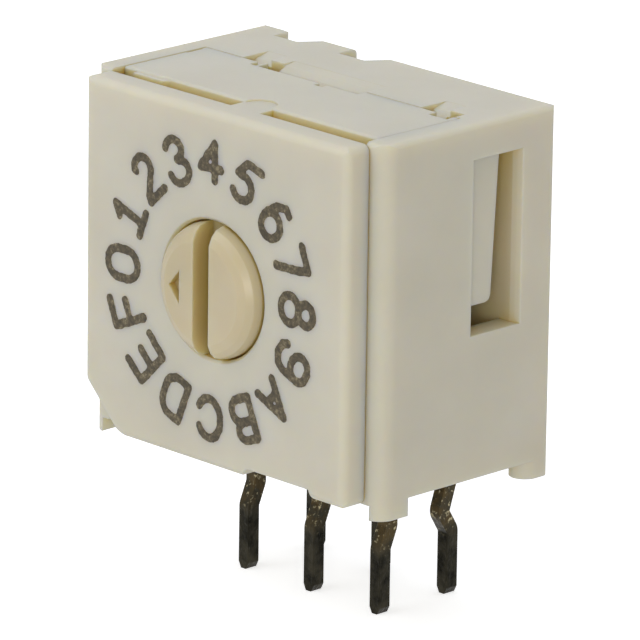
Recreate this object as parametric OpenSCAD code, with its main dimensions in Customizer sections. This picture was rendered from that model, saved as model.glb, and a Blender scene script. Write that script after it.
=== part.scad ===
// Rotary code switch in a right-angle dip package: sixteen positions, binary code, six pins.
// Lengths are millimetres. The origin is the centre of the six-pin pattern on the board's surface.
// X runs to the right along the front plate, Y to the rear and Z up, away from the board.

/* [Board pattern] */
// distance between neighbouring pins in a row
pin_pitch = 2.54; // [2.4:0.01:2.7]
// distance between the front row and the rear row
row_gap = 2.54; // [2.4:0.01:2.7]
// reach of the pins below the board's surface
pin_reach = 3.9; // [3.2:0.01:5]
// width of a pin along its row
pin_w = 0.36; // [0.28:0.01:0.45]
// thickness of a pin from front to rear
pin_t = 0.4; // [0.3:0.01:0.45]
// height of the feet, which hold the housing off the board
stand_off = 0.4; // [0.3:0.01:0.55]
// distance from the housing's front edge to the centre of the pin pattern
front_to_pattern = 4.32; // [4.25:0.01:4.4]

/* [Housing] */
// width of the housing over both side walls
house_w = 11.1; // [10.8:0.05:11.6]
// depth of the housing from its front edge to its rear face
house_d = 6.35; // [6.25:0.02:6.75]
// height of the housing above its feet
house_h = 9.8; // [9.6:0.05:10.2]
// thickness of a side wall
side_t = 0.7; // [0.6:0.01:0.8]
// thickness of the rear wall
rear_t = 1.35; // [1.25:0.01:1.45]
// thickness of the roof over the rear cavity
roof_t = 0.95; // [0.8:0.01:1.1]
// thickness of the slotted floor that the rear pins pass through
comb_t = 0.8; // [0.6:0.01:1]
// radius of the upright front corners
corner_r = 0.5; // [0.3:0.01:0.55]
// radius of the upright rear corners
rear_corner_r = 0.25; // [0.15:0.01:0.4]
// radius of the edges round the top
edge_r = 0.14; // [0.06:0.01:0.2]
// length of a front foot from front to rear
front_foot_d = 1.05; // [0.9:0.01:1.4]
// length of a rear foot from front to rear
rear_foot_d = 0.95; // [0.9:0.01:1.3]
// width of a front foot
foot_w = 0.4; // [0.35:0.01:0.45]
// width of a rear foot, whose front end is a half round
rear_foot_w = 0.84; // [0.7:0.01:0.88]
// height of the side walls' lower edge between the feet
side_lift = 0.1; // [0.05:0.01:0.2]
// height of the side windows' sill
window_low = 4.05; // [3.6:0.05:4.3]
// distance from the housing's front edge to the windows' front edge, where the catches lock
window_front = 3.25; // [3.2:0.01:3.35]
// depth of the pockets in the roof's front edge
pocket_depth = 0.7; // [0.5:0.01:0.75]
// width of the two pockets
pocket_w = 0.65; // [0.5:0.01:0.8]
// distance between the two pockets
pocket_pitch = 6.77; // [6.6:0.01:6.9]
// drop of the roof's rounded edge at the gap between the pockets
slope_depth = 0.3; // [0.2:0.01:0.4]
// width of the gap that the cover's edge leaves between the pockets
roof_gap = 0.3; // [0.15:0.01:0.35]
// depth of the two upright grooves in the rear face
groove_depth = 0.7; // [0.4:0.01:0.78]
// width of the slanting wall of a groove
groove_slant = 0.5; // [0.3:0.01:0.6]
// height at which the grooves end
groove_low = 4; // [3.6:0.05:5]

/* [Cover] */
// step from the housing's side to the front plate's side
plate_side = 0.55; // [0.45:0.01:0.65]
// drop of the front plate's top below the housing's top
plate_drop = 0.05; // [0.02:0.01:0.1]
// thickness of the front plate
plate_t = 0.8; // [0.7:0.01:1]
// radius of the front plate's front edges and corners
plate_r = 0.22; // [0.1:0.01:0.3]
// length of the slanted lower left corner along each edge
plate_cut = 1.48; // [1:0.01:1.7]
// height of the recess in the plate's lower edge
recess_h = 0.27; // [0.15:0.01:0.4]
// distance from the middle to the recess's left end
recess_left = 1.05; // [0.8:0.01:1.4]
// width of the foot that the recess leaves at the right corner
recess_foot = 1.2; // [1:0.01:1.5]
// width of the groove between the front plate and the body behind it
neck_d = 0.45; // [0.35:0.01:0.55]
// depth of the groove's floor below the top
channel_depth = 0.45; // [0.3:0.01:0.5]
// width of the bridge that crosses the groove
bridge_w = 1.1; // [0.8:0.01:1.3]
// depth of the round gate mark on the bridge
gate_depth = 0.05; // [0.04:0.01:0.1]
// distance from the housing's front edge to the rear face of the cover
body_d = 3.4; // [3.38:0.01:3.46]
// thickness of the rim round the base
rim_t = 0.52; // [0.45:0.01:0.6]
// length of a side catch from front to rear
catch_d = 1.01; // [0.8:0.01:1.15]
// depth of the catch's face behind the housing's side
catch_sunk = 0.23; // [0.15:0.01:0.3]

/* [Rotor] */
// radius of the bore in the front plate
bore_r = 1.9; // [1.8:0.01:2]
// distance that the rotor's head stands out of the front plate
head_proud = 0.45; // [0.3:0.01:0.6]
// width of the head's sloping edge
head_slope = 0.45; // [0.3:0.01:0.5]
// width of the screwdriver slot
slot_w = 0.61; // [0.5:0.01:0.7]
// depth of the screwdriver slot
slot_depth = 0.75; // [0.6:0.01:1]
// distance from the axis to the pointer's tip
pointer_tip = 1.22; // [1.1:0.01:1.3]
// length of the pointer
pointer_l = 0.4; // [0.3:0.01:0.5]
// width of the pointer's base
pointer_w = 0.92; // [0.7:0.01:1]
// number of switch positions round the turn
positions = 16; // [16:1:16]
// radius of the detent wheel
wheel_r = 2.8; // [2.7:0.01:2.85]
// thickness of the detent wheel
wheel_t = 0.7; // [0.6:0.01:0.75]
// radius of a detent notch
notch_r = 0.3; // [0.27:0.01:0.34]
// thickness of the flange that carries the code disc
flange_t = 0.25; // [0.2:0.01:0.3]
// radius of the rear pivot
pivot_r = 0.6; // [0.5:0.01:0.65]
// length of the pivot inside the base
pivot_l = 0.4; // [0.3:0.01:0.45]
// thickness of the ring seal's section
ring_t = 0.4; // [0.34:0.01:0.42]

/* [Code and contacts] */
// thickness of the stamped code disc
disc_t = 0.12; // [0.1:0.01:0.15]
// radius of the common track
common_r = 0.95; // [0.93:0.01:0.98]
// distance from one track to the next
track_pitch = 0.45; // [0.44:0.01:0.46]
// width of a track
track_w = 0.3; // [0.24:0.01:0.32]
// width of a contact finger
finger_w = 0.3; // [0.24:0.01:0.34]
// thickness of a contact finger
finger_t = 0.12; // [0.1:0.01:0.15]
// thickness of the bars that are buried in the base
bar_t = 0.2; // [0.16:0.01:0.24]
// thickness of the detent leaf spring
leaf_t = 0.12; // [0.1:0.01:0.15]
// width of the detent leaf spring
leaf_w = 0.56; // [0.5:0.01:0.6]

/* [Base] */
// thickness of the base inside the cover's rim
base_t = 0.78; // [0.72:0.01:0.8]
// width of the bead of sealing resin round the base
seal_w = 0.25; // [0.2:0.01:0.3]
// depth of the bead of sealing resin
seal_d = 0.36; // [0.3:0.01:0.38]
// height of the block that holds the pins
block_h = 3.2; // [3.1:0.01:3.3]
// radius of the pegs that place the base
peg_r = 0.3; // [0.25:0.01:0.35]

/* [Fits] */
// radial clearance of the turning rotor
running_gap = 0.05; // [0.03:0.01:0.08]
// end clearance of the turning rotor
thrust_gap = 0.05; // [0.03:0.01:0.08]
// clearance of a moulded part that slides into another
slide_gap = 0.03; // [0.02:0.01:0.05]
// clearance of metal set into plastic
mould_gap = 0.01; // [0.01:0.01:0.02]
// clearance of the detent nose in its notch and of the fingers over the disc
touch_gap = 0.03; // [0.02:0.01:0.04]

/* [Hidden] */

// Front plate, which stands inside the housing's outline and has the rotor at half its height
plate_w = house_w - 2 * plate_side;
plate_h = house_h - plate_drop;
axis_h = plate_h / 2;

// Lateral layout
half_w = house_w / 2;
inner_half = half_w - side_t;
body_half = inner_half - slide_gap;
rim_half = body_half - rim_t;
block_half = pin_pitch + pin_w / 2 + 0.68;
peg_x = rim_half - 0.58;
core_out = rim_half - 0.2;
leaf_half = rim_half - 1.6;
pocket_right = 4.65;
tooth_w = 0.1;
tooth_x = pocket_right - pocket_pitch - pocket_w + 0.1;

// Depth layout, from the housing's front edge to the rear
front_row = front_to_pattern - row_gap / 2;
rear_row = front_to_pattern + row_gap / 2;
rear_cavity = house_d - rear_t;
wheel_y = neck_d + 0.55 + thrust_gap;
flange_y = wheel_y + wheel_t;
disc_y = flange_y + flange_t;
disc_rear = disc_y + disc_t;
base_y = body_d - base_t - 0.02;
base_step = base_y + base_t - seal_d;
base_rear = base_y + base_t;
bar_y = base_y + 0.45;
block_rear = front_row + 0.95;
rear_run = rear_row + 0.21;
roof_y = body_d + 0.05;

// Groove behind the plate's top edge, with the bridge right of the middle
neck_left = -plate_w / 2 + 0.72;
channel_left = neck_left + 1.15;
bridge_x = 0.35;

// Heights above the housing's lower edge
roof_z = house_h - roof_t;
peg_z = house_h - rim_t - 0.62;
front_bar_z = 1.2;
rear_bar_z = 2.6;
tip_z = -stand_off - pin_reach;
leaf_z = axis_h + wheel_r + 0.65;

// Rotor radii
head_r = bore_r - running_gap;
groove_r = head_r - ring_t;
flange_r = wheel_r + 0.3;
room_r = flange_r + 0.15;
disc_r = flange_r - 0.05;
notch_ring_r = wheel_r + notch_r / 2;
notch_floor_r = notch_ring_r - notch_r;
step_angle = 360 / positions;

// Contact columns: distance from the middle, then the track that each finger rides on
finger_1_x = -1;
finger_2_x = 1;
finger_4_x = -2;
finger_8_x = pin_pitch;
track_1_r = common_r + track_pitch;
track_2_r = common_r + 2 * track_pitch;
track_4_r = common_r + 3 * track_pitch;
track_8_r = common_r + 4 * track_pitch;

// Colours of the materials
ivory = [0.86, 0.84, 0.76];
cream = [0.82, 0.76, 0.62];
tin = [0.36, 0.36, 0.32];
brass = [0.75, 0.62, 0.34];
steel = [0.6, 0.6, 0.6];
black_rubber = [0.1, 0.1, 0.1];
dark_resin = [0.2, 0.17, 0.13];

// Depth below the axis at which a finger in column x meets a track of radius r
function contact_drop(x, r) = sqrt(r * r - x * x);

// Angle of that contact point round the axis, seen from the front
function contact_angle(x, r) = atan2(-contact_drop(x, r), x);

function unit(v) = v / norm(v);

// Points of the arc that rounds corner b between a and c
function corner_arc(a, b, c, r) = let (
    u = unit(a - b),
    w = unit(c - b),
    half = acos(u * w) / 2,
    middle = b + unit(u + w) * r / sin(half),
    first = b + u * r / tan(half) - middle,
    last = b + w * r / tan(half) - middle
) [for (t = [0:0.2:1]) middle + unit(first * (1 - t) + last * t) * r];

// A centre line whose inner corners are rounded
function rounded_line(p, r) = [
    p[0],
    for (i = [1:len(p) - 2]) each corner_arc(p[i - 1], p[i], p[i + 1], r),
    p[len(p) - 1]
];

// Direction across the line at point i, long enough to keep the strip's thickness
function across(p, i) = let (
    before = unit(p[max(i, 1)] - p[max(i, 1) - 1]),
    after = unit(p[min(i, len(p) - 2) + 1] - p[min(i, len(p) - 2)]),
    mid = unit(before + after)
) [-mid[1], mid[0]] / (mid * before);

// Outline of a bent strip of the given thickness along the line p
function strip(p, t) = concat(
    [for (i = [0:len(p) - 1]) p[i] + across(p, i) * t / 2],
    [for (i = [len(p) - 1:-1:0]) p[i] - across(p, i) * t / 2]
);

// Moves a solid from the housing's front lower edge to the board frame
module placed() {
    translate([0, -front_to_pattern, stand_off]) children();
}

// Box between two values on each axis
module block(x0, x1, y0, y1, z0, z1) {
    translate([x0, y0, z0]) cube([x1 - x0, y1 - y0, z1 - z0]);
}

// Plane shape in depth and height, drawn out across the width
module along_x(x0, x1) {
    translate([x0, 0, 0]) rotate([90, 0, 90]) linear_extrude(x1 - x0) children();
}

// Plane shape in width and height, drawn out from front to rear
module along_y(y0, y1) {
    translate([0, y1, 0]) rotate([90, 0, 0]) linear_extrude(y1 - y0) children();
}

// Plane shape in width and depth, drawn out upwards
module along_z(z0, z1) {
    translate([0, 0, z0]) linear_extrude(z1 - z0) children();
}

// Profile of radius and depth, turned round the rotor's axis
module turned() {
    translate([0, 0, axis_h]) rotate([-90, 0, 0]) rotate_extrude($fn = 96) children();
}

// Round hole or pin on a line from front to rear
module round_y(x, z, r, y0, y1) {
    translate([x, y0, z]) rotate([-90, 0, 0]) cylinder(r = r, h = y1 - y0, $fn = 48);
}

module both_sides() {
    children();
    mirror([1, 0, 0]) children();
}

// Rectangle with four round corners
module round_rect(u0, u1, v0, v1, r) {
    translate([u0 + r, v0]) square([u1 - u0 - 2 * r, v1 - v0]);
    translate([u0, v0 + r]) square([u1 - u0, v1 - v0 - 2 * r]);
    for (u = [u0 + r, u1 - r], v = [v0 + r, v1 - r]) {
        translate([u, v]) circle(r, $fn = 32);
    }
}

// Rectangle whose two upper corners are round
module round_top(u0, u1, v0, v1, r) {
    translate([u0, v0]) square([u1 - u0, v1 - v0 - r]);
    translate([u0 + r, v0]) square([u1 - u0 - 2 * r, v1 - v0]);
    for (u = [u0 + r, u1 - r]) {
        translate([u, v1 - r]) circle(r, $fn = 32);
    }
}

// Outline of the housing from above
module house_plan() {
    intersection() {
        round_rect(-half_w, half_w, 0, house_d + 1, corner_r);
        round_rect(-half_w, half_w, -1, house_d, rear_corner_r);
    }
}

// The housing before anything is cut out: round upright corners and a round top edge
module house_mass() {
    intersection() {
        along_z(0, house_h) house_plan();
        along_x(-half_w - 1, half_w + 1) round_top(0, house_d, -1, house_h, edge_r);
        along_y(-1, house_d + 1) round_top(-half_w, half_w, -1, house_h, edge_r);
    }
}

// Feet under the side walls: square ones in front, ones with a half round front end behind
module feet() {
    r = rear_foot_w / 2;
    intersection() {
        along_z(-stand_off, 0.4) house_plan();
        both_sides() {
            block(half_w - foot_w, half_w, 0, front_foot_d, -stand_off, 0.4);
            block(half_w - rear_foot_w, half_w, house_d - rear_foot_d + r, house_d, -stand_off, 0.4);
            translate([half_w - r, house_d - rear_foot_d + r, -stand_off])
                cylinder(r = r, h = stand_off + 0.4, $fn = 48);
        }
    }
}

// Window in a side wall, whose rear edge flares outwards
module side_window() {
    along_z(window_low, roof_z) polygon([
        [inner_half - 0.2, window_front],
        [half_w + 0.5, window_front],
        [half_w + 0.5, rear_cavity + 0.1],
        [half_w, rear_cavity + 0.1],
        [half_w - 0.16, rear_cavity + 0.04],
        [half_w - 0.3, rear_cavity],
        [inner_half - 0.2, rear_cavity]
    ]);
}

// Rounded front edge of the roof from x0 to x1, which falls by the given depth
module roof_edge(x0, x1, length, depth) {
    along_x(x0, x1) polygon([
        [roof_y - 0.2, house_h - 0.65],
        [roof_y + 0.02, house_h - 0.65],
        [roof_y + 0.02, house_h - depth],
        [roof_y + 0.2 * length, house_h - 0.5 * depth],
        [roof_y + 0.52 * length, house_h - 0.17 * depth],
        [roof_y + length, house_h - 0.005],
        [roof_y + length, house_h + 1],
        [roof_y - 0.2, house_h + 1]
    ]);
}

// Pocket in the roof's front edge: a deep slot at the right, a rounded slope at the left
module roof_pocket(right) {
    left = right - pocket_w;
    block(left, right, roof_y - 0.2, roof_y + 0.36, house_h - pocket_depth, house_h + 1);
    roof_edge(left - 0.62, left + 0.1, 0.95, 0.62);
}

// Upright groove in the rear face: one straight wall, one slanting wall
module rear_groove(x0, x1) {
    along_z(groove_low, house_h + 1) polygon([
        [x0, house_d - groove_depth],
        [x1 - groove_slant, house_d - groove_depth],
        [x1, house_d],
        [x1, house_d + 1],
        [x0, house_d + 1]
    ]);
}

// Outer shell: two side walls, the rear wall, a roof, a slotted floor and four feet
module housing() {
    color(ivory) placed() difference() {
        union() {
            difference() {
                house_mass();
                both_sides() block(inner_half - 0.01, half_w + 1, front_foot_d,
                    house_d - rear_foot_d + rear_foot_w / 2, -1, side_lift);
            }
            feet();
        }
        block(-inner_half, inner_half, -1, roof_y, -1, house_h + 1);
        block(-inner_half, inner_half, roof_y - 0.2, rear_cavity, comb_t, roof_z);
        both_sides() side_window();
        block(-block_half - slide_gap, block_half + slide_gap, 1, block_rear + slide_gap, -1, comb_t + 0.2);
        for (x = [-pin_pitch, 0, pin_pitch]) {
            block(x - pin_w / 2 - 0.12, x + pin_w / 2 + 0.12, 2, rear_run + pin_t / 2 + 0.1,
                -1, rear_bar_z + pin_t / 2 + 0.15);
        }
        roof_pocket(pocket_right);
        roof_pocket(pocket_right - pocket_pitch);
        roof_edge(pocket_right - pocket_pitch - 0.05, 1.35, 0.75, slope_depth);
        rear_groove(-4.5, -3.1);
        rear_groove(-2, -0.5);
        along_z(groove_low, house_h + 1) polygon([
            [-half_w, house_d + 0.03],
            [-4.4, house_d - 0.17],
            [-4.4, house_d + 1],
            [-half_w, house_d + 1]
        ]);
    }
}

// Front view of the plate: slanted lower left corner, shallow recess in the lower edge
module plate_outline() {
    left = -plate_w / 2;
    right = plate_w / 2;
    difference() {
        round_rect(left, right, 0, plate_h, plate_r);
        polygon([[left - 1, plate_cut + 1], [left + plate_cut - 0.2, 0.2], [left + plate_cut + 0.1, 0],
            [left + plate_cut + 0.1, -1], [left - 1, -1]]);
        polygon([[recess_left, 0], [recess_left + 0.3, recess_h], [right - recess_foot - 0.1, recess_h],
            [right - recess_foot, 0], [right - recess_foot, -1], [recess_left, -1]]);
    }
}

// Front plate with round front edges
module plate() {
    intersection() {
        along_y(-plate_t, -slide_gap) plate_outline();
        along_x(-plate_w, plate_w) round_rect(-plate_t, 1, 0, plate_h, plate_r);
        along_z(-2, house_h + 1) round_rect(-plate_w / 2, plate_w / 2, -plate_t, 1, plate_r);
    }
}

// Body behind the plate, with soft edges along the top
module cover_mass() {
    intersection() {
        block(-body_half, body_half, neck_d, body_d, 0.05, house_h);
        along_x(-half_w, half_w) round_top(neck_d, body_d + 1, -1, house_h, 0.08);
        along_y(-1, body_d + 1) round_top(-body_half, body_half, -1, house_h, 0.06);
    }
    block(neck_left, body_half - 0.2, -0.2, neck_d + 0.1, plate_cut + 0.1, plate_h);
    block(plate_cut - plate_w / 2 + 0.1, body_half - 0.2, -0.2, neck_d + 0.1, recess_h + 0.05, plate_cut + 1);
}

// Groove between plate and body: two lengths with a solid bridge between them
module top_channel() {
    floor_z = house_h - channel_depth;
    block(neck_left - 0.01, channel_left + neck_d, -slide_gap, 0.6 * neck_d, floor_z, house_h + 1);
    block(channel_left + neck_d / 2, bridge_x - bridge_w / 2, -slide_gap, neck_d, floor_z, house_h + 1);
    translate([channel_left + neck_d / 2, neck_d / 2, floor_z]) cylinder(d = neck_d, h = 2, $fn = 32);
    block(bridge_x + bridge_w / 2, half_w, -slide_gap, neck_d, floor_z, house_h + 1);
    translate([bridge_x, neck_d + 0.02, house_h - gate_depth]) cylinder(d = 0.9 * bridge_w, h = 1, $fn = 48);
}

// Side view of a catch: slanted rear edge, round lower rear corner
module catch_side(y0) {
    y1 = body_d + catch_d;
    z0 = window_low + 0.75;
    z1 = roof_z - slide_gap;
    polygon([[y0, z0], [y1 - 0.4, z0], [y1 - 0.28, z0 + 0.05], [y1 - 0.22, z0 + 0.18], [y1, z1], [y0, z1]]);
}

// Front plate and inner body in one piece: bore, rotor room, rim for the base, two side catches.
// A small tooth stands at its rear edge, inside the roof's left pocket.
module cover() {
    color(ivory) placed() {
        difference() {
            union() {
                plate();
                cover_mass();
                both_sides() {
                    along_x(rim_half, body_half) catch_side(body_d - 0.2);
                    along_x(rim_half, half_w - catch_sunk) catch_side(window_front + slide_gap);
                }
            }
            top_channel();
            round_y(0, axis_h, bore_r, -plate_t - 1, wheel_y);
            turned() polygon([
                [0, -plate_t - 0.1],
                [bore_r + 0.18, -plate_t - 0.1],
                [bore_r, -plate_t + 0.08],
                [0, 0]
            ]);
            round_y(0, axis_h, room_r, wheel_y - thrust_gap, base_y + 1);
            block(-rim_half, rim_half, base_y, body_d + 1, rim_t, house_h - rim_t);
            block(-block_half - slide_gap, block_half + slide_gap, base_y, body_d + 1, -1, rim_t + 0.1);
            block(-leaf_half + 0.4, leaf_half - 0.4, wheel_y, base_y + 0.1, leaf_z - 0.8, leaf_z + 0.3);
            block(-leaf_half, leaf_half, wheel_y, base_y + 0.1,
                leaf_z - leaf_t / 2 - mould_gap, leaf_z + leaf_t / 2 + mould_gap);
            for (right = [pocket_right, pocket_right - pocket_pitch]) {
                block(right - pocket_w, right, body_d - roof_gap, body_d + 0.1, house_h - 0.65, house_h + 1);
            }
            block(pocket_right - pocket_pitch - 0.05, 1.35, body_d - roof_gap, body_d + 0.1,
                house_h - 0.4, house_h + 1);
            block(-0.1, 0.2, body_d - roof_gap - 0.2, body_d + 0.1, house_h - 0.3, house_h + 1);
            block(-block_half, block_half, disc_y, base_y + 0.1, 0.8, axis_h);
            both_sides() {
                block(core_out - 1.2, core_out, wheel_y, base_y + 0.1, rim_t + 0.2, rim_t + 1.4);
                round_y(peg_x, peg_z, peg_r + mould_gap, base_y - 0.65, base_y + 0.1);
            }
            block(-body_half - 0.1, -body_half + 0.1, body_d - 0.75, body_d - 0.15,
                house_h - 0.6, house_h + 1);
        }
        block(tooth_x, tooth_x + tooth_w, body_d - roof_gap - 0.05, body_d + 0.2,
            house_h - 0.3, house_h - plate_drop);
    }
}

// Code windows of the disc: a run of positions is open where the contact's bit is 0
module code_windows(x, r, weight, y0, y1, inset) {
    for (run = [0:positions / weight / 2 - 1]) {
        trim = inset / r * 180 / PI;
        start = contact_angle(x, r) + (run * 2 * weight - 0.5) * step_angle;
        translate([0, y1, axis_h]) rotate([90, 0, 0]) rotate([0, 0, start + trim])
            rotate_extrude(angle = weight * step_angle - 2 * trim, $fn = 96)
                translate([r - track_w / 2 + inset, 0]) square([track_w - 2 * inset, y1 - y0]);
    }
}

module all_code_windows(y0, y1, inset) {
    code_windows(finger_1_x, track_1_r, 1, y0, y1, inset);
    code_windows(finger_2_x, track_2_r, 2, y0, y1, inset);
    code_windows(finger_4_x, track_4_r, 4, y0, y1, inset);
    code_windows(finger_8_x, track_8_r, 8, y0, y1, inset);
}

// Knob, shaft, notched detent wheel and disc flange in one piece, with a sunk pointer
module rotor() {
    front = -plate_t - head_proud;
    color(cream) placed() {
        difference() {
            turned() polygon([
                [0, front],
                [head_r - head_slope, front],
                [head_r - head_slope * 0.5, front + head_slope * 0.22],
                [head_r - head_slope * 0.16, front + head_slope * 0.56],
                [head_r, front + head_slope * 1.1],
                [head_r, 0.15],
                [groove_r, 0.15],
                [groove_r, 0.15 + ring_t + 0.1],
                [head_r, 0.15 + ring_t + 0.1],
                [head_r, wheel_y],
                [wheel_r, wheel_y],
                [wheel_r, flange_y],
                [flange_r, flange_y],
                [flange_r, disc_y],
                [pivot_r, disc_y],
                [pivot_r, base_y + pivot_l - 0.08],
                [pivot_r - 0.08, base_y + pivot_l],
                [0, base_y + pivot_l]
            ]);
            block(-slot_w / 2, slot_w / 2, front - 1, front + slot_depth,
                axis_h - bore_r - 1, axis_h + bore_r + 1);
            translate([0, 0, axis_h]) along_y(front - 1, front + 0.22) polygon([
                [-pointer_tip, 0],
                [pointer_l - pointer_tip, pointer_w / 2],
                [pointer_l - pointer_tip, -pointer_w / 2]
            ]);
            for (i = [0:positions - 1]) {
                translate([0, 0, axis_h]) rotate([0, i * step_angle, 0])
                    round_y(0, notch_ring_r, notch_r, wheel_y - 0.5, flange_y);
            }
        }
        all_code_windows(disc_y - 0.05, disc_rear, mould_gap);
    }
}

// Stamped disc on the rotor's rear: a full common ring inside four coded rings
module code_disc() {
    color(brass) placed() difference() {
        turned() polygon([
            [pivot_r + 0.1, disc_y],
            [disc_r, disc_y],
            [disc_r, disc_rear],
            [pivot_r + 0.1, disc_rear]
        ]);
        all_code_windows(disc_y - 1, disc_rear + 1, 0);
    }
}

// Rubber ring in the rotor's groove, which seals the bore
module ring_seal() {
    color(black_rubber) placed() turned()
        translate([groove_r + ring_t / 2 + mould_gap, 0.2 + ring_t / 2]) circle(d = ring_t, $fn = 32);
}

// Leaf spring across the top of the detent wheel, with its nose in a notch
module detent_leaf() {
    nose = axis_h + notch_floor_r + touch_gap + 0.04;
    line = rounded_line([
        [-leaf_half + 0.1, leaf_z],
        [-0.5, leaf_z - 0.14],
        [0, nose],
        [0.5, leaf_z - 0.14],
        [leaf_half - 0.1, leaf_z]
    ], 0.16);
    color(steel) placed() along_y(wheel_y + 0.07, wheel_y + 0.07 + leaf_w) polygon(strip(line, leaf_t));
}

// Line of a front pin: up from the board, a forward step under the housing, into the block
function front_leg() = rounded_line([
    [front_row, tip_z],
    [front_row, -2.5],
    [front_row + 0.25, -1.9],
    [front_row + 0.25, front_bar_z + 0.2]
], 0.25);

// Line of a rear pin: up from the board, a kink, up behind the block and forward into it
function rear_leg() = rounded_line([
    [rear_row, tip_z],
    [rear_row, -2.5],
    [rear_row - 0.34, -1.95],
    [rear_run, -0.25],
    [rear_run, rear_bar_z],
    [bar_y, rear_bar_z]
], 0.25);

// Line of a finger: out of the base, then a long slant up to the disc and a short lift
function finger_line(z0, z1) = rounded_line([
    [bar_y, z0],
    [base_y - 0.2, z0],
    [disc_rear + touch_gap + finger_t / 2, z1],
    [disc_rear + touch_gap + finger_t / 2 + 0.16, z1 + 0.3]
], 0.1);

// Pin with a pointed end
module leg(x, line, grow) {
    difference() {
        along_x(x - pin_w / 2 - grow, x + pin_w / 2 + grow) polygon(strip(line, pin_t + 2 * grow));
        translate([x, line[0][0], tip_z]) both_sides() along_y(-1, 1) polygon([
            [pin_w / 2 - 0.09, -1],
            [pin_w / 2 - 0.09, 0],
            [pin_w / 2 + 0.02, 0.22],
            [pin_w, 0.22],
            [pin_w, -1]
        ]);
    }
}

// Contact finger in column x, from its bar to the track of radius r
module finger(x, r, z0, grow) {
    along_x(x - finger_w / 2 - grow, x + finger_w / 2 + grow)
        polygon(strip(finger_line(z0, axis_h - contact_drop(x, r)), finger_t + 2 * grow));
}

// Buried bar that joins a pin to its finger
module bar(x0, x1, z0, z1, grow) {
    block(min(x0, x1) - 0.15 - grow, max(x0, x1) + 0.15 + grow,
        bar_y - bar_t / 2 - grow, bar_y + bar_t / 2 + grow, z0 - 0.2 - grow, z1 + 0.2 + grow);
}

// Terminal with a front pin
module front_terminal(x, finger_x, r, grow) {
    leg(x, front_leg(), grow);
    bar(x, finger_x, front_bar_z, front_bar_z, grow);
    finger(finger_x, r, front_bar_z, grow);
}

// Terminal with a rear pin
module rear_terminal(x, finger_x, r, grow) {
    leg(x, rear_leg(), grow);
    bar(x, finger_x, rear_bar_z, rear_bar_z, grow);
    finger(finger_x, r, rear_bar_z, grow);
}

// Common terminal: one stamping with a front pin, a rear pin and one finger
module common_terminal(grow) {
    leg(0, front_leg(), grow);
    leg(0, rear_leg(), grow);
    bar(0, 0, front_bar_z, rear_bar_z, grow);
    finger(0, common_r, front_bar_z, grow);
}

module terminal_1() {
    color(tin) placed() front_terminal(-pin_pitch, finger_1_x, track_1_r, 0);
}

module terminal_2() {
    color(tin) placed() front_terminal(pin_pitch, finger_2_x, track_2_r, 0);
}

module terminal_4() {
    color(tin) placed() rear_terminal(-pin_pitch, finger_4_x, track_4_r, 0);
}

module terminal_8() {
    color(tin) placed() rear_terminal(pin_pitch, finger_8_x, track_8_r, 0);
}

module terminal_common() {
    color(tin) placed() common_terminal(0);
}

// Contact carrier that closes the cover: plate, pin block, pivot hole, two pegs
module base() {
    color(cream) placed() difference() {
        union() {
            block(slide_gap - rim_half, rim_half - slide_gap, base_y, base_step,
                rim_t + slide_gap, house_h - rim_t - slide_gap);
            block(seal_w - rim_half, rim_half - seal_w, base_y + 0.1, base_rear,
                rim_t + seal_w, house_h - rim_t - seal_w);
            block(-block_half, block_half, base_y, block_rear, 0.15, block_h);
            both_sides() round_y(peg_x, peg_z, peg_r, base_y - 0.5, base_y + 0.1);
        }
        round_y(0, axis_h, pivot_r + running_gap, base_y - 1, base_y + pivot_l + thrust_gap);
        front_terminal(-pin_pitch, finger_1_x, track_1_r, mould_gap);
        front_terminal(pin_pitch, finger_2_x, track_2_r, mould_gap);
        rear_terminal(-pin_pitch, finger_4_x, track_4_r, mould_gap);
        rear_terminal(pin_pitch, finger_8_x, track_8_r, mould_gap);
        common_terminal(mould_gap);
    }
}

// Bead of resin between the base and the cover's rim, open where the pin block passes
module base_resin() {
    color(dark_resin) placed() difference() {
        block(mould_gap - rim_half, rim_half - mould_gap, base_step + mould_gap, base_rear,
            rim_t + mould_gap, house_h - rim_t - mould_gap);
        block(seal_w - mould_gap - rim_half, rim_half - seal_w + mould_gap, base_step - 1, base_rear + 1,
            rim_t + seal_w - mould_gap, house_h - rim_t - seal_w + mould_gap);
        block(-block_half - mould_gap, block_half + mould_gap, 0, base_rear + 1, -1, block_h);
    }
}

housing();
cover();
rotor();
code_disc();
ring_seal();
detent_leaf();
base();
base_resin();
terminal_1();
terminal_2();
terminal_4();
terminal_8();
terminal_common();
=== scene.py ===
"""Looks of a right-angle rotary code switch: ivory moulded case, cream rotor, tinned pins, printed dial."""
import bpy
import math
from mathutils import Matrix, Vector


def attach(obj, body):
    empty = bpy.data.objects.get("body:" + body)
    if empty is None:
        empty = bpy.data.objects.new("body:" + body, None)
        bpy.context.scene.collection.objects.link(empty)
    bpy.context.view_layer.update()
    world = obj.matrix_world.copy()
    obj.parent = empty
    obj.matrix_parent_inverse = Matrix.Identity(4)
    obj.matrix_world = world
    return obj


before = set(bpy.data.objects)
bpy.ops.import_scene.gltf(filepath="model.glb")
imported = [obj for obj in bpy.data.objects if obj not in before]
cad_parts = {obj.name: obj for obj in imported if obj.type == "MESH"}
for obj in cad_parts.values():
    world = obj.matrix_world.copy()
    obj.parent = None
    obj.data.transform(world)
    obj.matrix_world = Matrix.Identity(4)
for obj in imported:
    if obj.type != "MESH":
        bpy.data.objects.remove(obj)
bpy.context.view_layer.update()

MM = 0.001

# Sizes of the switch that the printed dial and the camera need, in millimetres.
HOUSING_FRONT_Y = -4.32
PLATE_FRONT_Y = HOUSING_FRONT_Y - 0.8
DIAL_Z = 5.28
PIN_TIP_Z = -3.9


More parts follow.
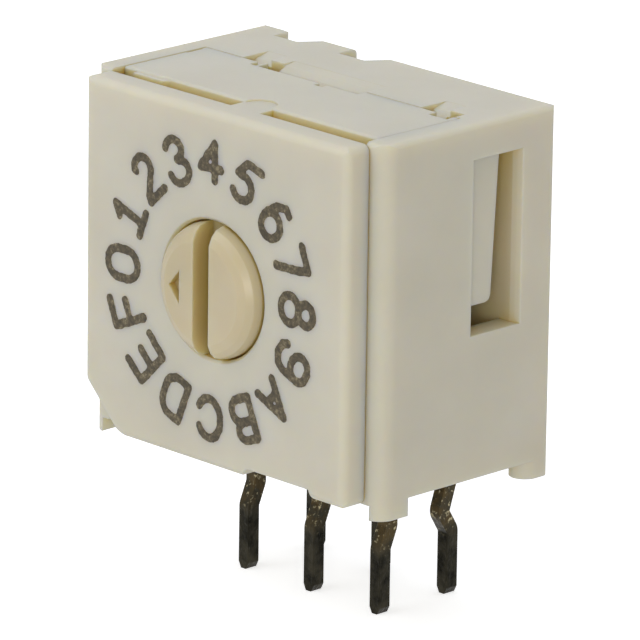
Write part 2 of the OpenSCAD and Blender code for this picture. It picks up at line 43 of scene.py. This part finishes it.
def linear(hex_colour):
    """sRGB hex value to the linear colour that a shader reads."""
    parts = [int(hex_colour[i:i + 2], 16) / 255 for i in (1, 3, 5)]
    return [p / 12.92 if p <= 0.04045 else ((p + 0.055) / 1.055) ** 2.4 for p in parts] + [1.0]


def add_node(tree, kind, settings=None, links=None):
    """Adds one node. Settings starting with a capital are sockets, the others are properties."""
    node = tree.nodes.new(kind)
    for name, value in (settings or {}).items():
        if name[0].isupper():
            node.inputs[name].default_value = value
        else:
            setattr(node, name, value)
    for name, source in (links or {}).items():
        tree.links.new(source, node.inputs[name])
    return node


def new_material(name):
    """An empty node material with its output and an Object coordinate source."""
    material = bpy.data.materials.new(name)
    material.use_nodes = True
    tree = material.node_tree
    tree.nodes.clear()
    output = add_node(tree, "ShaderNodeOutputMaterial")
    place = add_node(tree, "ShaderNodeTexCoord").outputs["Object"]
    return material, tree, output, place


def size_to_scale(millimetres):
    """Noise scale whose features are about this wide, on coordinates in metres."""
    return 1 / (millimetres * MM)


def ramp(tree, source, stops):
    """Colour ramp from (position, hex colour) stops."""
    node = add_node(tree, "ShaderNodeValToRGB", links={"Fac": source})
    elements = node.color_ramp.elements
    while len(elements) < len(stops):
        elements.new(0.5)
    for element, (position, colour) in zip(elements, stops):
        element.position = position
        element.color = linear(colour)
    return node.outputs["Color"]


def grey_range(tree, source, low, high):
    """Maps a 0 to 1 value onto low to high."""
    return add_node(tree, "ShaderNodeMapRange", {"To Min": low, "To Max": high}, {"Value": source}).outputs["Result"]


def moulded_plastic(name, dark, mid, light, painted_shade_colour, roughness, glow, edge):
    """Injection moulded resin. Faint clouds in its colour and a fine spark-eroded grain keep it from
    looking like paint. Light passes through its thin walls and comes back warmer. Slots, corners and gaps
    also get a painted shade, a warm tan mixed into the colour by ambient occlusion. The edge radius is in millimetres."""
    material, tree, output, place = new_material(name)
    clouds = add_node(tree, "ShaderNodeTexNoise", {"Scale": size_to_scale(2.6), "Detail": 3.0}, {"Vector": place})
    grain = add_node(tree, "ShaderNodeTexNoise", {"Scale": size_to_scale(0.09), "Detail": 2.0}, {"Vector": place})
    face = ramp(tree, clouds.outputs["Fac"], [(0.32, dark), (0.52, mid), (0.72, light)])
    # Painted shade: ambient occlusion mixes the colour towards the warm tan in slots, corners and gaps.
    shade_occlusion = add_node(tree, "ShaderNodeAmbientOcclusion", {"samples": 8, "Distance": 2.2 * MM})
    painted_shade_amount = add_node(tree, "ShaderNodeMapRange", {"From Min": 0.62, "From Max": 0.18}, {"Value": shade_occlusion.outputs["AO"]})
    colour = add_node(tree, "ShaderNodeMix", {"data_type": "RGBA"}, {"Factor": painted_shade_amount.outputs["Result"]})
    tree.links.new(face, colour.inputs[6])
    colour.inputs[7].default_value = linear(painted_shade_colour)
    colour = colour.outputs[2]
    rough = grey_range(tree, grain.outputs["Fac"], roughness - 0.06, roughness + 0.08)
    soft_edge = add_node(tree, "ShaderNodeBevel", {"samples": 6, "Radius": edge * MM})
    bump = add_node(tree, "ShaderNodeBump", {"Strength": 0.16, "Distance": 0.004 * MM},
                    {"Height": grain.outputs["Fac"], "Normal": soft_edge.outputs["Normal"]})
    shader = add_node(tree, "ShaderNodeBsdfPrincipled",
                      {"IOR": 1.5, "Subsurface Weight": glow, "Subsurface Radius": (1.0, 0.75, 0.35),
                       "Subsurface Scale": 1.2 * MM},
                      {"Base Color": colour, "Roughness": rough, "Normal": bump.outputs["Normal"]})
    tree.links.new(shader.outputs["BSDF"], output.inputs["Surface"])
    return material


def plated_metal(name, dark, light, roughness, grain_mm, edge):
    """Stamped sheet metal with a thin plating: cloudy dull tin or gold over the marks of the press."""
    material, tree, output, place = new_material(name)
    stretch = add_node(tree, "ShaderNodeMapping", {"Scale": (1.0, 1.0, 0.35)}, {"Vector": place})
    cloud = add_node(tree, "ShaderNodeTexNoise", {"Scale": size_to_scale(grain_mm), "Detail": 4.0},
                     {"Vector": stretch.outputs["Vector"]})
    fine = add_node(tree, "ShaderNodeTexNoise", {"Scale": size_to_scale(0.05), "Detail": 2.0}, {"Vector": place})
    colour = ramp(tree, cloud.outputs["Fac"], [(0.35, dark), (0.65, light)])
    rough = grey_range(tree, cloud.outputs["Fac"], roughness - 0.1, roughness + 0.12)
    soft_edge = add_node(tree, "ShaderNodeBevel", {"samples": 6, "Radius": edge * MM})
    bump = add_node(tree, "ShaderNodeBump", {"Strength": 0.35, "Distance": 0.008 * MM},
                    {"Height": fine.outputs["Fac"], "Normal": soft_edge.outputs["Normal"]})
    shader = add_node(tree, "ShaderNodeBsdfPrincipled", {"Metallic": 1.0},
                      {"Base Color": colour, "Roughness": rough, "Normal": bump.outputs["Normal"]})
    tree.links.new(shader.outputs["BSDF"], output.inputs["Surface"])
    return material


def dipped_tin(name, dark, light, reflection_brown, glint_colour):
    """Bronze pins dipped in tin: dark and half dull along the legs. Round the upper bends, from about 2 mm below
    the board's surface, they carry a warm brown painted reflection and small bright specks of painted highlight."""
    material, tree, output, place = new_material(name)
    cloud = add_node(tree, "ShaderNodeTexNoise", {"Scale": size_to_scale(0.4), "Detail": 4.0}, {"Vector": place})
    drops_and_glints = add_node(tree, "ShaderNodeTexNoise", {"Scale": size_to_scale(0.12), "Detail": 2.0}, {"Vector": place})
    height = add_node(tree, "ShaderNodeSeparateXYZ", links={"Vector": place}).outputs["Z"]
    upper = add_node(tree, "ShaderNodeMapRange", {"From Min": -2.3 * MM, "From Max": -1.7 * MM}, {"Value": height})
    # Painted highlight: bright specks in the pale colour round the upper bends.
    bright = add_node(tree, "ShaderNodeMapRange", {"From Min": 0.6, "From Max": 0.72}, {"Value": drops_and_glints.outputs["Fac"]})
    painted_glints = add_node(tree, "ShaderNodeMath", {"operation": "MULTIPLY"})
    tree.links.new(upper.outputs["Result"], painted_glints.inputs[0])
    tree.links.new(bright.outputs["Result"], painted_glints.inputs[1])
    legs = ramp(tree, cloud.outputs["Fac"], [(0.35, dark), (0.65, light)])
    # Painted reflection: the upper bends turn warm brown.
    painted_bend_reflection = ramp(tree, cloud.outputs["Fac"], [(0.4, light), (0.6, reflection_brown)])
    legs_and_bends = add_node(tree, "ShaderNodeMix", {"data_type": "RGBA"}, {"Factor": upper.outputs["Result"]})
    tree.links.new(legs, legs_and_bends.inputs[6])
    tree.links.new(painted_bend_reflection, legs_and_bends.inputs[7])
    colour = add_node(tree, "ShaderNodeMix", {"data_type": "RGBA"}, {"Factor": painted_glints.outputs["Value"]})
    tree.links.new(legs_and_bends.outputs[2], colour.inputs[6])
    colour.inputs[7].default_value = linear(glint_colour)
    rough = grey_range(tree, cloud.outputs["Fac"], 0.2, 0.42)
    soft_edge = add_node(tree, "ShaderNodeBevel", {"samples": 6, "Radius": 0.04 * MM})
    bump = add_node(tree, "ShaderNodeBump", {"Strength": 0.7, "Distance": 0.03 * MM},
                    {"Height": drops_and_glints.outputs["Fac"], "Normal": soft_edge.outputs["Normal"]})
    shader = add_node(tree, "ShaderNodeBsdfPrincipled", {"Metallic": 1.0},
                      {"Base Color": colour.outputs[2], "Roughness": rough, "Normal": bump.outputs["Normal"]})
    tree.links.new(shader.outputs["BSDF"], output.inputs["Surface"])
    return material


def soft_compound(name, dark, light, roughness):
    """Rubber or cast resin: dark, with a faint cloudy bloom on its surface."""
    material, tree, output, place = new_material(name)
    bloom = add_node(tree, "ShaderNodeTexNoise", {"Scale": size_to_scale(0.3), "Detail": 3.0}, {"Vector": place})
    colour = ramp(tree, bloom.outputs["Fac"], [(0.35, dark), (0.7, light)])
    rough = grey_range(tree, bloom.outputs["Fac"], roughness - 0.08, roughness + 0.08)
    shader = add_node(tree, "ShaderNodeBsdfPrincipled", {"IOR": 1.5}, {"Base Color": colour, "Roughness": rough})
    tree.links.new(shader.outputs["BSDF"], output.inputs["Surface"])
    return material


def pad_printing_ink(name):
    """Pad printed ink: a thin dull film, dark brown-grey, broken by paler specks where the pad lifted."""
    material, tree, output, place = new_material(name)
    specks = add_node(tree, "ShaderNodeTexNoise", {"Scale": size_to_scale(0.11), "Detail": 4.0, "Roughness": 0.65}, {"Vector": place})
    density = add_node(tree, "ShaderNodeTexNoise", {"Scale": size_to_scale(0.5), "Detail": 2.0}, {"Vector": place})
    mixed = add_node(tree, "ShaderNodeMix", {"data_type": "FLOAT", "Factor": 0.25},
                     {"A": specks.outputs["Fac"], "B": density.outputs["Fac"]})
    colour = ramp(tree, mixed.outputs["Result"], [(0.4, "#372f1d"), (0.54, "#544a34"), (0.66, "#8a7f62")])
    shader = add_node(tree, "ShaderNodeBsdfPrincipled", {"IOR": 1.5, "Roughness": 0.6}, {"Base Color": colour})
    tree.links.new(shader.outputs["BSDF"], output.inputs["Surface"])
    return material


# The fourth colour of each moulded plastic is its painted shade, the warm tan mixed into slots, corners and gaps.
IVORY = moulded_plastic("moulded_ivory_polyester", "#cec9b8", "#d1ccbb", "#d4cfbf", "#cfba6c", 0.52, 0.7, 0.06)
CREAM = moulded_plastic("moulded_cream_nylon", "#c3b695", "#c8bb9b", "#cdc1a4", "#b5a05a", 0.33, 0.6, 0.06)
BASE_PLASTIC = moulded_plastic("moulded_ivory_base", "#c9c2ae", "#ccc6b3", "#d0cab8", "#c8b36a", 0.5, 0.6, 0.04)
# Pins: the last two colours are painted, the brown reflection and the pale highlight specks on the upper bends.
TIN = dipped_tin("hot_tinned_bronze", "#1a1913", "#37342a", "#473c27", "#a59b7c")
GOLD = plated_metal("gold_plated_bronze", "#c9a35a", "#e0bd75", 0.3, 0.4, 0.01)
STEEL = plated_metal("rolled_spring_steel", "#8f8f8c", "#a9a9a6", 0.35, 0.4, 0.01)
RUBBER = soft_compound("black_nitrile_rubber", "#141414", "#202020", 0.6)
RESIN = soft_compound("cast_brown_epoxy", "#2c241b", "#3a3025", 0.3)
INK = pad_printing_ink("pad_printed_ink")

NODE_MATERIALS = {
    "housing": IVORY, "cover": IVORY, "rotor": CREAM, "code_disc": GOLD, "ring_seal": RUBBER,
    "detent_leaf": STEEL, "base": BASE_PLASTIC, "base_resin": RESIN, "terminal_1": TIN,
    "terminal_2": TIN, "terminal_4": TIN, "terminal_8": TIN, "terminal_common": TIN,
}

for node_name, material in NODE_MATERIALS.items():
    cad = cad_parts[node_name]
    cad.data.materials.clear()
    cad.data.materials.append(material)


# Printed dial. Each digit is a set of pen strokes, (right, up) in millimetres from its place on the ring.
STROKE_R = 0.126
RING_R = 3.45
RING_X = -0.1
INK_DEPTH = 0.03
DIGITS = "456789ABCDEF0123"


def arc(x, y, rx, ry, first, last, steps=12):
    """Points on an ellipse between two angles in degrees, 0 to the right and 90 up."""
    angles = [math.radians(first + (last - first) * i / steps) for i in range(steps + 1)]
    return [(x + rx * math.cos(a), y + ry * math.sin(a)) for a in angles]


def digit_strokes():
    """Strokes of each digit, as uneven as the print on the real plate."""
    return {
        "0": [arc(-0.03, 0.1, 0.4, 0.41, 0, 180) + arc(-0.03, -0.22, 0.4, 0.42, 180, 360) + [(0.37, 0.1)]],
        "1": [[(-0.16, 0.3), (0.08, 0.55), (0.1, -0.57)], [(-0.24, -0.58), (0.47, -0.56)]],
        "2": [[(-0.18, 0.46)] + arc(0.07, 0.35, 0.32, 0.33, 150, -30) + [(-0.22, -0.33), (-0.29, -0.48), (0.43, -0.5)]],
        "3": [arc(-0.01, 0.36, 0.31, 0.28, 155, -80) + arc(0.03, -0.25, 0.37, 0.31, 80, -175)],
        "4": [[(0.14, -0.46), (0.13, 0.54), (-0.4, -0.15), (0.37, -0.12)]],
        "5": [[(0.41, 0.57), (-0.14, 0.52), (-0.36, 0.12)] + arc(-0.08, -0.2, 0.36, 0.34, 110, -140)],
        "6": [[(0.22, 0.5), (0.02, 0.54), (-0.22, 0.3), (-0.33, -0.06)] + arc(0.01, -0.26, 0.35, 0.36, 180, 530, 24)],
        "7": [[(-0.45, 0.47), (0.22, 0.45), (0.1, 0.03), (-0.18, -0.66)]],
        "8": [arc(-0.1, 0.17, 0.29, 0.27, -90, 270, 24), arc(-0.14, -0.43, 0.38, 0.33, 90, 450, 24)],
        "9": [[(-0.38, -0.4), (-0.28, -0.56), (0.0, -0.63), (0.27, -0.52), (0.38, -0.28)]
              + arc(0.02, 0.22, 0.36, 0.31, 0, 350, 24)],
        "A": [[(-0.34, -0.43), (0.03, 0.59), (0.4, -0.42)], [(-0.18, -0.05), (0.22, -0.05)]],
        "B": [[(-0.34, -0.48), (-0.34, 0.65)] + arc(0.04, 0.4, 0.27, 0.25, 90, -90) + [(-0.34, 0.15)],
              [(-0.34, 0.15)] + arc(0.08, -0.17, 0.32, 0.31, 90, -90) + [(-0.34, -0.48)]],
        "C": [arc(0.0, 0.1, 0.44, 0.54, 32, 180) + arc(0.0, 0.1, 0.44, 0.54, 180, 328)],
        "D": [[(-0.38, -0.48), (-0.38, 0.63)] + arc(-0.02, 0.2, 0.41, 0.45, 90, 0)
              + arc(-0.02, -0.05, 0.41, 0.43, 0, -90) + [(-0.38, -0.48)]],
        "E": [[(0.38, 0.63), (-0.34, 0.61), (-0.34, -0.56), (0.41, -0.57)], [(-0.34, 0.01), (0.3, 0.01)]],
        "F": [[(0.47, 0.57), (-0.28, 0.59), (-0.27, -0.57)], [(-0.27, -0.01), (0.31, -0.02)]],
    }


def deselect_all():
    bpy.ops.object.select_all(action="DESELECT")


def split_at_corners(points):
    """Cuts a stroke where it turns sharply, so that the round pen keeps its full width there."""
    runs = [[points[0]]]
    for before, here, after in zip(points, points[1:], points[2:]):
        runs[-1].append(here)
        if (here - before).length > 0 and (after - here).length > 0:
            if (here - before).angle(after - here) > math.radians(30):
                runs.append([here])
    runs[-1].append(points[-1])
    return runs


def make_dial():
    """Draws the strokes as round tubes with round ends, melts them together and presses them flat."""
    strokes = digit_strokes()
    pen = bpy.data.curves.new("dial_pen", "CURVE")
    pen.dimensions = "3D"
    pen.bevel_depth = STROKE_R
    pen.bevel_resolution = 3
    pen.use_fill_caps = True
    ends = []
    for index, digit in enumerate(DIGITS):
        angle = math.radians(90 - index * 360 / len(DIGITS))
        out = Vector((math.cos(angle), math.sin(angle)))
        along = Vector((math.sin(angle), -math.cos(angle)))
        for stroke in strokes[digit]:
            for points in split_at_corners([out * (RING_R + v) + along * u for u, v in stroke]):
                spline = pen.splines.new("POLY")
                spline.points.add(len(points) - 1)
                for target, point in zip(spline.points, points):
                    target.co = (point.x, point.y, 0, 1)
                ends += [points[0], points[-1]]
    dial = bpy.data.objects.new("dial_print", pen)
    bpy.context.collection.objects.link(dial)
    deselect_all()
    dial.select_set(True)
    bpy.context.view_layer.objects.active = dial
    bpy.ops.object.convert(target="MESH")
    dial = bpy.context.object
    bpy.ops.object.mode_set(mode="EDIT")
    for end in ends:
        bpy.ops.mesh.primitive_uv_sphere_add(segments=16, ring_count=8, radius=STROKE_R, location=(end.x, end.y, 0))
    bpy.ops.object.mode_set(mode="OBJECT")
    melt = dial.modifiers.new("melt", "REMESH")
    melt.mode = "VOXEL"
    melt.voxel_size = 0.03
    bpy.ops.object.modifier_apply(modifier=melt.name)
    ragged = bpy.data.textures.new("ragged_ink", "CLOUDS")
    ragged.noise_scale = 0.16
    edge = dial.modifiers.new("ragged_edge", "DISPLACE")
    edge.texture = ragged
    edge.strength = 0.05
    edge.mid_level = 0.5
    edge.texture_coords = "LOCAL"
    bpy.ops.object.modifier_apply(modifier=edge.name)
    press = Matrix.Scale(INK_DEPTH / STROKE_R / 2, 4, (0, 0, 1))
    stand = Matrix(((1, 0, 0, RING_X), (0, 0, -1, PLATE_FRONT_Y), (0, 1, 0, DIAL_Z), (0, 0, 0, 1)))
    dial.data.transform(Matrix.Scale(MM, 4) @ stand @ press)
    deselect_all()
    dial.select_set(True)
    bpy.ops.object.shade_smooth()
    dial.data.materials.clear()
    dial.data.materials.append(INK)
    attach(dial, "case")
    return dial


dial_print = make_dial()


# Floor and light. The floor is pale and takes the shadow; only the camera sees it brightened to white.
def looking_rays(tree):
    """1 for the rays that look at the background, straight, by a reflection or through a clear thing."""
    rays = add_node(tree, "ShaderNodeLightPath")
    mirrored = add_node(tree, "ShaderNodeMath", {"operation": "MAXIMUM"})
    tree.links.new(rays.outputs["Is Glossy Ray"], mirrored.inputs[0])
    tree.links.new(rays.outputs["Is Transmission Ray"], mirrored.inputs[1])
    either = add_node(tree, "ShaderNodeMath", {"operation": "MAXIMUM"})
    tree.links.new(rays.outputs["Is Camera Ray"], either.inputs[0])
    tree.links.new(mirrored.outputs["Value"], either.inputs[1])
    return either.outputs["Value"]


def make_floor():
    bpy.ops.mesh.primitive_plane_add(size=2.4, location=(0, 0, PIN_TIP_Z * MM))
    floor = bpy.context.object
    floor.name = "studio_floor"
    material, tree, output, place = new_material("matt_white_board")
    tone = add_node(tree, "ShaderNodeTexNoise", {"Scale": size_to_scale(40), "Detail": 2.0}, {"Vector": place})
    colour = ramp(tree, tone.outputs["Fac"], [(0.3, "#e9e9e9"), (0.7, "#ebebeb")])
    board = add_node(tree, "ShaderNodeBsdfDiffuse", links={"Color": colour})
    seen = add_node(tree, "ShaderNodeMath", {"operation": "MULTIPLY"}, {"Value": looking_rays(tree)})
    seen.inputs[1].default_value = 0.65
    lift = add_node(tree, "ShaderNodeEmission", {"Color": (1, 1, 1, 1)}, {"Strength": seen.outputs["Value"]})
    both = add_node(tree, "ShaderNodeAddShader")
    tree.links.new(board.outputs["BSDF"], both.inputs[0])
    tree.links.new(lift.outputs["Emission"], both.inputs[1])
    tree.links.new(both.outputs["Shader"], output.inputs["Surface"])
    floor.data.materials.append(material)


def make_lamp(name, place, size, power, colour):
    """Square soft box, its place in millimetres, aimed at the middle of the switch."""
    data = bpy.data.lights.new(name, "AREA")
    data.shape = "SQUARE"
    data.size = size * MM
    data.energy = power
    data.color = linear(colour)[:3]
    lamp = bpy.data.objects.new(name, data)
    bpy.context.collection.objects.link(lamp)
    lamp.location = Vector(place) * MM
    aim = Vector((0, 0, 5 * MM)) - lamp.location
    lamp.rotation_euler = aim.to_track_quat("-Z", "Y").to_euler()


def make_world():
    world = bpy.data.worlds.new("studio")
    bpy.context.scene.world = world
    world.use_nodes = True
    tree = world.node_tree
    tree.nodes.clear()
    output = add_node(tree, "ShaderNodeOutputWorld")
    strength = add_node(tree, "ShaderNodeMapRange", {"To Min": 0.36, "To Max": 1.0}, {"Value": looking_rays(tree)})
    sky = add_node(tree, "ShaderNodeBackground", {"Color": (1, 1, 1, 1)}, {"Strength": strength.outputs["Result"]})
    tree.links.new(sky.outputs["Background"], output.inputs["Surface"])


def make_camera():
    """Camera at the photograph's angle: bearing, height and roll in degrees, distance and aim in millimetres."""
    bearing, height, roll = math.radians(45.698), math.radians(16.893), math.radians(-0.805)
    distance, aim = 197.3, Vector((3.234, -4.32, 5.043))
    back = Vector((math.sin(bearing) * math.cos(height), -math.cos(bearing) * math.cos(height), math.sin(height)))
    right = Vector((math.cos(bearing), math.sin(bearing), 0))
    up = back.cross(right)
    rolled_right = right * math.cos(roll) - up * math.sin(roll)
    rolled_up = right * math.sin(roll) + up * math.cos(roll)
    data = bpy.data.cameras.new("photo_camera")
    data.sensor_width = 36
    data.lens = 425.6
    data.clip_start = 0.01
    data.clip_end = 10
    camera = bpy.data.objects.new("photo_camera", data)
    bpy.context.collection.objects.link(camera)
    turn = Matrix((rolled_right, rolled_up, back)).transposed().to_4x4()
    camera.matrix_world = Matrix.Translation((aim + back * distance) * MM) @ turn
    bpy.context.scene.camera = camera


make_floor()
make_world()
make_lamp("key_box", (-120, -260, 260), 260, 0.47, "#f3f7ff")
make_lamp("top_box", (0, 60, 300), 240, 0.24, "#eef4ff")
make_lamp("camera_box", (226, -226, 60), 120, 0.3, "#fff9ee")
make_camera()
bpy.context.scene.view_settings.view_transform = "Standard"
